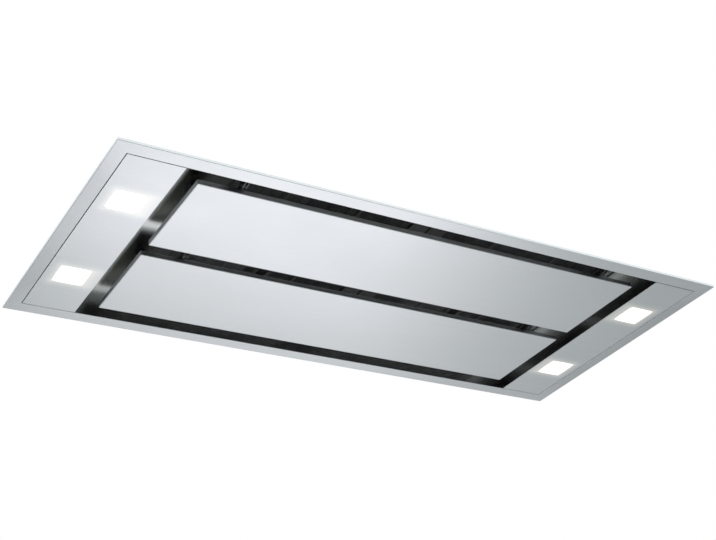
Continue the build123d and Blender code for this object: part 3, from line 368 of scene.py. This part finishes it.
def lamp_board():
    """White solder mask with rows of yellow chips, lit."""
    f = Finish("lamp board")
    chip_pitch = 0.0085
    x, y = f.axes("XY")
    rows = (x * (tau / chip_pitch)).sine() * (y * (tau / chip_pitch)).sine()
    chips = f.spread(rows, 0.80, 0.86)
    base = f.blend(chips, (0.86, 0.86, 0.83, 1), (0.95, 0.78, 0.25, 1))
    glow = f.blend(chips, (0.5, 0.48, 0.42, 1), (1, 0.9, 0.6, 1))
    return f.shader(Base_Color=base, Roughness=0.4, Emission_Color=glow, Emission_Strength=0.8)


finishes = {
    # mitred=True turns the grain on the frame's end strips and gives them painted shade
    "flange": brushed_steel("brushed frame steel", 0.0013, mitred=True),
    # lamps=True gives the lamp plates painted glow round each lens
    "plate": brushed_steel("brushed lamp plate steel", 0.0006, lamps=True),
    "panel": brushed_steel("brushed panel steel", 0.0025),
    "polished": polished_steel(),
    "galvanised": galvanised_steel(),
    "backing": rolled_aluminium(),
    "filter rim": satin_metal("filter rim aluminium", (0.58, 0.59, 0.60), 0.33, (0.04, 1, 1), 320.0),
    "grease mesh": grease_mesh(),
    "cast": satin_metal("cast lamp cup aluminium", (0.50, 0.51, 0.52), 0.45, scale=700.0),
    "lens": frosted_lens(),
    "board": lamp_board(),
    "spring": satin_metal("spring steel", (0.38, 0.38, 0.39), 0.28),
    "zinc": satin_metal("zinc plated steel", (0.52, 0.53, 0.50), 0.30, scale=500.0, dirt=0.2),
    "blackened": satin_metal("blackened steel", (0.085, 0.086, 0.088), 0.36,
                             scale=400.0, dirt=0.3, metallic=0.6),
    "black": moulded("black moulded plastic", (0.022, 0.022, 0.024), 0.45),
    "grey latch": moulded("dark grey latch plastic", (0.070, 0.071, 0.072), 0.38, coat=0.15),
    "dark": moulded("dark fan plastic", (0.055, 0.057, 0.062), 0.42, coat=0.1),
    "damper": satin_metal("damper aluminium", (0.55, 0.56, 0.57), 0.30, (0.05, 1, 1), 260.0),
    "turned": satin_metal("ground steel", (0.50, 0.51, 0.52), 0.22, (1, 0.05, 0.05), 600.0, 0.1),
    "motor": satin_metal("motor enamel", (0.075, 0.078, 0.082), 0.40,
                         scale=500.0, dirt=0.3, metallic=0.3),
    "foam": moulded("closed-cell foam", (0.028, 0.028, 0.030), 0.88, 0.9, 1500.0),
    "rubber": moulded("soft rubber", (0.016, 0.016, 0.016), 0.72, 0.5, 600.0),
    "can": moulded("capacitor case", (0.74, 0.74, 0.71), 0.32, 0.15, 500.0, coat=0.3),
    "pale": moulded("pale control plastic", (0.62, 0.63, 0.62), 0.42, 0.35, 800.0),
}

dress = {
    "flange": ["flange_frame"],
    "plate": ["lamp_plate_left", "lamp_plate_right"],
    "panel": ["panel_near_skin", "panel_far_skin"],
    "polished": ["recess_liner", "centre_beam", "filter_rails"],
    "galvanised": ["plenum_shell", "motor_box", "motor_box_lid", "motor_spider",
                   "impeller", "impeller_blades"],
    "backing": ["panel_near_back", "panel_far_back"],
    "filter rim": ["filter_frame_" + corner for corner in corners],
    "grease mesh": ["filter_mesh_" + corner for corner in corners],
    "grey latch": ["filter_latch_" + corner for corner in corners],
    "cast": ["lamp_housing_" + corner for corner in corners],
    "lens": ["lamp_lens_" + corner for corner in corners],
    "board": ["led_boards"],
    "spring": ["lamp_clips"],
    "zinc": ["hanging_brackets", "panel_near_strikers", "panel_far_strikers", "case_screws"],
    "blackened": ["hinge_brackets", "hinge_pins", "panel_near_hinge_arms", "panel_far_hinge_arms"],
    "black": ["panel_catches", "cable_gland"],
    "dark": ["outlet_collar", "fan_scroll"],
    "damper": ["damper_flap_left", "damper_flap_right"],
    "turned": ["damper_pin", "impeller_shaft"],
    "motor": ["motor"],
    "rubber": ["rubber_grommets"],
    "can": ["capacitor"],
    "pale": ["control_box", "control_box_lid", "led_driver"],
}
for finish, names in dress.items():
    for name in names:
        mesh = nodes[name].data
        mesh.materials.clear()
        mesh.materials.append(finishes[finish])


# ---- modelling in edit mode ---------------------------------------------------------------------------
def pick(points=None, edges=None, faces=None):
    """In edit mode, selects just the points, edges or faces that pass their test."""
    tests = (points, edges, faces)
    bpy.context.tool_settings.mesh_select_mode = [test is not None for test in tests]
    shape = bmesh.from_edit_mesh(bpy.context.object.data)
    groups = (shape.verts, shape.edges, shape.faces)
    for group in groups:
        for part in group:
            part.select = False
    for group, test in zip(groups, tests):
        for part in group:
            if test and test(part):
                part.select_set(True)
    shape.select_flush_mode()
    bmesh.update_edit_mesh(bpy.context.object.data)


def begin(primitive, **sizes):
    """Adds a primitive by itself and opens it for editing."""
    bpy.ops.object.select_all(action="DESELECT")
    primitive(**sizes)
    bpy.ops.object.mode_set(mode="EDIT")


def push(move=(0, 0, 0), grow=1.0):
    """Extrudes what is selected, moves it and scales it about the Z axis."""
    bpy.ops.mesh.extrude_region_move(TRANSFORM_OT_translate={"value": move})
    if grow != 1.0:
        bpy.ops.transform.resize(value=(grow, grow, 1), center_override=(0, 0, 0))


def end(name, angle=0.6):
    """Closes the editing: merged, facing outwards, smooth but for creases, the object at the origin."""
    bpy.ops.mesh.select_all(action="SELECT")
    bpy.ops.mesh.remove_doubles(threshold=0.00001)
    bpy.ops.mesh.normals_make_consistent(inside=False)
    bpy.ops.object.mode_set(mode="OBJECT")
    bpy.ops.object.transform_apply(location=True, rotation=True, scale=True)
    bpy.ops.object.shade_smooth_by_angle(angle=angle)
    piece = bpy.context.object
    piece.name = name
    return piece


def join(pieces):
    """Joins pieces into the first of them."""
    bpy.ops.object.select_all(action="DESELECT")
    for piece in pieces:
        piece.select_set(True)
    bpy.context.view_layer.objects.active = pieces[0]
    bpy.ops.object.join()
    return pieces[0]


def finish_piece(piece, name, body, material):
    """Names a piece, gives it its finish and lets it ride its body."""
    piece.name = name
    piece.data.materials.clear()
    piece.data.materials.append(finishes[material])
    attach(piece, body)
    return piece


def spread_copies(name, master, places, body, material):
    """Copies a piece onto each (point, outward direction, upward direction), as one piece on a body."""
    copies = []
    for point, outward, upward in places:
        out = Vector(outward)
        up = Vector(upward)
        turn = Matrix((up.cross(out), up, out)).transposed().to_4x4()
        copy = master.copy()
        copy.data = master.data.copy()
        copy.data.transform(Matrix.Translation(Vector(point)) @ turn)
        bpy.context.collection.objects.link(copy)
        copies.append(copy)
    bpy.data.objects.remove(master)
    return finish_piece(join(copies), name, body, material)


# ---- screws, rivets, corner laps, finger pads and seals -----------------------------------------------
lap_width, lap_sheet = 0.018, 0.0008  # a folded corner tab of the sheet boxes


def pan_head_screw():
    """Pan head with a cross recess over its plain shank, its seat at the origin and its head up."""
    head, top, length, chamfer = 0.0018, 0.0044, 0.006, 0.0006
    arm, recess, rim, rounding = 0.00045, 0.0012, 0.00003, 1.2
    recess_floor, shank, tip = 0.6, 0.5, 0.72  # each a share of the ring that it is pushed from
    rings = ((0.00025, 1.17), (0.00045, 1.09), (0.00107, 1.0))  # drop and growth, from the rim to the seat
    begin(bpy.ops.mesh.primitive_grid_add, x_subdivisions=5, y_subdivisions=5,
          size=top, location=(0, 0, head))
    pick(faces=lambda face: min(abs(v) for v in face.calc_center_median().xy) < arm)
    push((0, 0, -recess), recess_floor)
    pick(edges=lambda edge: edge.is_boundary)
    push((0, 0, -rim))
    bpy.ops.transform.tosphere(value=1.0)
    bpy.ops.transform.resize(value=(rounding, rounding, 1), center_override=(0, 0, 0))
    for drop, growth in rings:
        push((0, 0, -drop), growth)
    push(grow=shank)
    push((0, 0, -length + chamfer))
    push((0, 0, -chamfer), tip)
    bpy.ops.mesh.edge_face_add()
    return end("pan_head_screw")


def rounded_prism(sides, radius, low, high, rounding):
    """Begins a prism between two heights with the edges of its top rounded, left open for editing."""
    begin(bpy.ops.mesh.primitive_cylinder_add, vertices=sides, radius=radius, depth=high - low,
          location=(0, 0, (low + high) / 2))
    pick(faces=lambda face: face.normal.z > 0.9)
    bpy.ops.mesh.bevel(offset=rounding, segments=2, affect="EDGES")


def washer_head_screw():
    """Hexagon head on its own washer, with chamfered corners and a dished top."""
    head_radius, head_low, head_high, head_rounding = 0.0032, 0.0007, 0.0029, 0.00035
    washer_radius, washer_thickness, washer_rounding = 0.0044, 0.0009, 0.0003
    dish_rim, dish, dish_floor = 0.0007, 0.0004, 0.9
    rounded_prism(6, head_radius, head_low, head_high, head_rounding)
    pick(faces=lambda face: face.normal.z > 0.99)
    bpy.ops.mesh.inset(thickness=dish_rim, depth=0.0)
    push((0, 0, -dish), dish_floor)
    hexagon = end("washer_head_screw")
    rounded_prism(24, washer_radius, 0.0, washer_thickness, washer_rounding)
    washer = end("washer")
    return join([hexagon, washer])


def blind_rivet():
    """Low domed rivet head with the pit that its mandrel leaves."""
    radius, rim, pit, pit_floor = 0.0032, 0.0004, 0.0007, 0.8
    dome = ((0.0005, 0.00035), (0.0007, 0.00022), (0.0008, 0.0001))  # width and rise of each ring
    begin(bpy.ops.mesh.primitive_cylinder_add, vertices=20, radius=radius, depth=rim,
          location=(0, 0, rim / 2))
    for width, rise in dome:
        pick(faces=lambda face: face.normal.z > 0.95)
        bpy.ops.mesh.inset(thickness=width, depth=rise)
    push((0, 0, -pit), pit_floor)
    return end("blind_rivet", 0.9)


def corner_lap(height):
    """Folded tab of a box's corner: thin sheet with clipped corners and a soft edge."""
    clip, softening = 0.005, 0.0003
    begin(bpy.ops.mesh.primitive_plane_add, size=1.0)
    bpy.ops.transform.resize(value=(lap_width, height, 1), center_override=(0, 0, 0))
    pick(points=lambda point: point.co.x < 0)
    bpy.ops.mesh.bevel(offset=clip, segments=1, affect="VERTICES")
    pick(faces=lambda face: True)
    push((0, 0, lap_sheet))
    pick(edges=lambda edge: min(v.co.z for v in edge.verts) > lap_sheet / 2)
    bpy.ops.mesh.bevel(offset=softening, segments=2, affect="EDGES")
    return end("corner_lap")


def grip_pad():
    """Moulded finger pad: a thin plate with three raised ribs across it."""
    width, height, plate, strips = 0.020, 0.0056, 0.0003, 7
    rib_draft, rib_rise = 0.00015, 0.0005
    strip = height / strips

    def is_rib(face):
        return face.normal.z > 0.9 and int((face.calc_center_median().y + height / 2) / strip) % 2 == 1

    begin(bpy.ops.mesh.primitive_grid_add, x_subdivisions=1, y_subdivisions=strips, size=1.0)
    bpy.ops.transform.resize(value=(width, height, 1), center_override=(0, 0, 0))
    push((0, 0, plate))
    pick(faces=is_rib)
    bpy.ops.mesh.inset(thickness=rib_draft, depth=rib_rise)
    return end("grip_pad")


def flange_gasket():
    """Foam strip on the flange's upper face, round the plenum, a little rounded on top."""
    length, depth, strip, low, height, rounding = 1.086, 0.486, 0.010, 0.0011, 0.0026, 0.0008
    half_way = low + height / 2
    long_edge = 0.1  # the strip's sides are longer than this, and its mitred corners shorter
    begin(bpy.ops.mesh.primitive_plane_add, size=1.0, location=(0, 0, low))
    bpy.ops.transform.resize(value=(length, depth, 1), center_override=(0, 0, 0))
    pick(faces=lambda face: True)
    bpy.ops.mesh.inset(thickness=strip, depth=0.0)
    pick(faces=lambda face: not any(edge.is_boundary for edge in face.edges))
    bpy.ops.mesh.delete(type="FACE")
    bpy.ops.mesh.select_all(action="SELECT")
    push((0, 0, height))
    pick(edges=lambda edge: min(v.co.z for v in edge.verts) > half_way and edge.calc_length() > long_edge)
    bpy.ops.mesh.bevel(offset=rounding, segments=3, affect="EDGES")
    return end("flange_gasket")


def collar_seal():
    """Soft lip round the collar's mouth: a ring whose outer side is drawn thin and leans back."""
    ring, thick, stretch, lean, flare = 0.0762, 0.0013, 3.0, 0.0025, 1.02
    mouth = (0, 0.2195, 0.2335)
    outer_side = ring + 0.8 * thick
    begin(bpy.ops.mesh.primitive_torus_add, major_segments=80, minor_segments=12,
          major_radius=ring, minor_radius=thick, location=mouth, rotation=(tau / 4, 0, 0))
    bpy.ops.transform.resize(value=(1, stretch, 1), center_override=mouth)
    pick(points=lambda point: point.co.xy.length > outer_side)
    bpy.ops.transform.translate(value=(0, -lean, 0))
    bpy.ops.transform.resize(value=(flare, 1, flare), center_override=mouth)
    return end("collar_seal", 1.2)


# ---- where the fastenings and fittings go -------------------------------------------------------------
def four_about(centre_x, x, y, z):
    """Four points about a middle on the X axis, at one height."""
    return [(centre_x + sx * x, sy * y, z) for sx in both for sy in both]


def up_places(points):
    """Places on level faces, where a piece faces up."""
    return [(point, (0, 0, 1), (0, 1, 0)) for point in points]


def lap_places(x, y, z):
    """The four corners of a box, on its end walls, with each lap's clipped side away from the corner."""
    y -= lap_width / 2
    return [((sx * x, sy * y, z), (sx, 0, 0), (0, 0, sx * sy)) for sx in both for sy in both]


def rivet_places(x, y, heights):
    """Rivets at these heights on the laps of a box's four corners."""
    x += lap_sheet
    y -= lap_width / 2
    return [((sx * x, sy * y, z), (sx, 0, 0), (0, 0, 1)) for sx in both for sy in both for z in heights]


_, plenum_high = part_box("plenum_shell")
_, lid_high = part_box("motor_box_lid")
_, control_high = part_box("control_box_lid")
deck = 0.100  # the plenum's flat top, on which the feet of the boxes and brackets stand
box_foot, hanger_foot, unit_foot = deck + 0.001, deck + 0.0025, deck + 0.0015
box_foot_x, box_foot_y = 0.197, 0.136
hanger_x, hanger_y, hanger_step = 0.445, 0.190, 0.012
control_x, control_foot_x, control_foot_y = -0.3605, 0.064, 0.066
driver_x, driver_foot_x = 0.3605, 0.081

seats = [(sx * box_foot_x, y, box_foot) for sx in both for y in (-box_foot_y, 0, box_foot_y)]
seats += [(sx * hanger_x, sy * hanger_y + step * hanger_step, hanger_foot)
          for sx in both for sy in both for step in both]
seats += four_about(control_x, control_foot_x, control_foot_y, unit_foot)
seats += [(driver_x + sx * driver_foot_x, 0, unit_foot) for sx in both]
case_screws = spread_copies("screws_of_the_case", pan_head_screw(), up_places(seats),
                            "case", "zinc")
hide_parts("case_screws")

lid_screw_x, lid_screw_y = 0.070, 0.050
lid_corners = four_about(control_x, lid_screw_x, lid_screw_y, control_high.z)
spread_copies("control_lid_screws", pan_head_screw(), up_places(lid_corners), "case", "zinc")

skirt_z, side_screws_x, end_screw_y = lid_high.z - 0.008, (-0.14, 0, 0.14), 0.11
around = [((x, sy * lid_high.y, skirt_z), (0, sy, 0), (0, 0, 1)) for sy in both for x in side_screws_x]
around += [((sx * lid_high.x, sy * end_screw_y, skirt_z), (sx, 0, 0), (0, 0, 1))
           for sx in both for sy in both]
spread_copies("motor_lid_screws", washer_head_screw(), around, "case", "zinc")

box_x, box_y = 0.190, 0.170  # the motor box's walls, from its middle
box_lap, box_lap_z, box_rivets_z = 0.212, 0.211, (0.125, 0.182, 0.240, 0.297)
plenum_lap, plenum_lap_z, plenum_rivets_z = 0.088, 0.052, (0.022, 0.052, 0.082)
places = lap_places(box_x, box_y, box_lap_z)
spread_copies("motor_box_corner_laps", corner_lap(box_lap), places, "case", "galvanised")
places = lap_places(plenum_high.x, plenum_high.y, plenum_lap_z)
spread_copies("plenum_corner_laps", corner_lap(plenum_lap), places, "case", "galvanised")
places = rivet_places(box_x, box_y, box_rivets_z)
places += rivet_places(plenum_high.x, plenum_high.y, plenum_rivets_z)
spread_copies("corner_rivets", blind_rivet(), places, "case", "zinc")

tab_thickness, tab_height = 0.0025, 0.007
for place in corners:
    toward_beam = 1 if place.startswith("near") else -1
    latch_low, latch_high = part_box("filter_latch_" + place)
    tab_edge = latch_low.y if toward_beam > 0 else latch_high.y
    middle_x = (latch_low.x + latch_high.x) / 2
    middle = (middle_x, tab_edge + toward_beam * tab_thickness, latch_low.z + tab_height / 2)
    pad = [(middle, (0, toward_beam, 0), (0, 0, 1))]
    spread_copies("latch_grip_" + place, grip_pad(), pad, "latch_" + place, "grey latch")

finish_piece(flange_gasket(), "flange_gasket", "case", "foam")
finish_piece(collar_seal(), "collar_seal", "case", "rubber")


# ---- room: ceiling board, floor, soft lights and camera -----------------------------------------------
air_level = 0.55  # the world's strength as a light
room_level, ceiling_level = 0.62, 1.45  # what polished metal sees of the white room and of the ceiling
room_tint = (0.925, 1.0, 0.985, 1)
ceiling_z, floor_z = 0.004, -2.4
cut_out = (0.535, 0.235)  # half the ceiling's opening for the hood
hood_middle = (0, 0, 0.1)


def room_white(name, grey, share_lit, metal_level, one_sided=False):
    """A matt room surface that looks white to the eye, pale to metal, and still takes a shadow."""
    f = Finish(name)
    matt = f.node("BsdfDiffuse", None, {"Color": (grey, grey, grey, 1)})
    seen, mirrored, through = f.rays()
    tint = f.blend(seen, room_tint, (1, 1, 1, 1))
    white = f.node("Emission", None, {"Color": tint, "Strength": seen * (1 - metal_level) + metal_level})
    share = (seen + mirrored + through).clamped()
    surface = f.node("MixShader", None, {0: share * share_lit, 1: matt, 2: white})
    if one_sided:
        clear = f.node("BsdfTransparent")
        behind = f.node("NewGeometry", out="Backfacing")
        surface = f.node("MixShader", None, {0: behind, 1: surface, 2: clear})
    return f.close(surface)


def rectangle(x, y):
    """The corners of a rectangle about the origin, from its half sides."""
    return [(-x, -y), (x, -y), (x, y), (-x, y)]


def flat_stage(name, half_side, height, material, hole=None):
    """A level square of the room, which may have a rectangular hole, given by its half sides."""
    points = rectangle(half_side, half_side)
    faces = [(0, 1, 2, 3)]
    if hole:
        points += rectangle(*hole)
        faces = [(0, 1, 5, 4), (1, 2, 6, 5), (2, 3, 7, 6), (3, 0, 4, 7)]
    mesh = bpy.data.meshes.new(name)
    mesh.from_pydata([(x, y, height) for x, y in points], [], faces)
    mesh.materials.append(material)
    piece = bpy.data.objects.new(name, mesh)
    bpy.context.collection.objects.link(piece)
    return piece


def studio_air():
    """The world: one level as light, and another where the camera, metal or glass looks at it."""
    f = Finish("studio", "World")
    seen, mirrored, through = f.rays()
    strength = f.spread(seen.most(mirrored).most(through), 0.0, 1.0, air_level, room_level)
    return f.close(f.node("Background", None, {"Strength": strength}))


def soft_light(name, place, aim, size, watts, colour=(1, 1, 1)):
    """A rectangular soft box that faces a point and that the camera doesn't see."""
    lamp = bpy.data.lights.new(name, "AREA")
    lamp.shape = "RECTANGLE"
    lamp.size, lamp.size_y = size
    lamp.energy = watts
    lamp.color = colour
    box = bpy.data.objects.new(name, lamp)
    box.location = place
    box.rotation_euler = (Vector(aim) - Vector(place)).to_track_quat("-Z", "Y").to_euler()
    box.visible_camera = False
    bpy.context.collection.objects.link(box)


def stand_camera(place, right, up, forward, lens):
    """The camera of the scene, turned by three directions."""
    camera = bpy.data.cameras.new("camera")
    camera.sensor_width = 36.0
    camera.lens = lens
    eye = bpy.data.objects.new("camera", camera)
    turned = Matrix((Vector(right), Vector(up), -Vector(forward))).transposed().to_4x4()
    eye.matrix_world = Matrix.Translation(Vector(place)) @ turned
    bpy.context.collection.objects.link(eye)
    bpy.context.scene.camera = eye


ceiling_white = room_white("ceiling white", 0.9, 1.0, ceiling_level, one_sided=True)
ceiling = flat_stage("ceiling_board", 6.0, ceiling_z, ceiling_white, hole=cut_out)
ceiling.data.flip_normals()
flat_stage("floor", 14.0, floor_z, room_white("floor white", 0.82, 0.9, room_level))
bpy.context.scene.world = studio_air()

soft_light("floor_softbox", place=(0.8, 1.6, -1.50), aim=(0.8, 1.6, 0), size=(1.6, 1.6), watts=10.7,
           colour=(0.985, 0.98, 1.0))
soft_light("inner_glow", place=(0.0, 0.0, 0.016), aim=hood_middle, size=(0.76, 0.37), watts=0.032)
soft_light("overhead", place=(-0.8, -1.6, 3.2), aim=hood_middle, size=(2.5, 2.5), watts=60.0)
soft_light("side_fill", place=(-3.4, -1.0, 1.2), aim=hood_middle, size=(2.0, 1.6), watts=30.0)

stand_camera(place=(-1.07194, -1.57749, -1.04223), right=(0.85719, -0.50666, -0.09223),
             up=(-0.18612, -0.47178, 0.86185), forward=(0.48017, 0.72161, 0.49871), lens=65.035)
bpy.context.scene.view_settings.view_transform = "Standard"
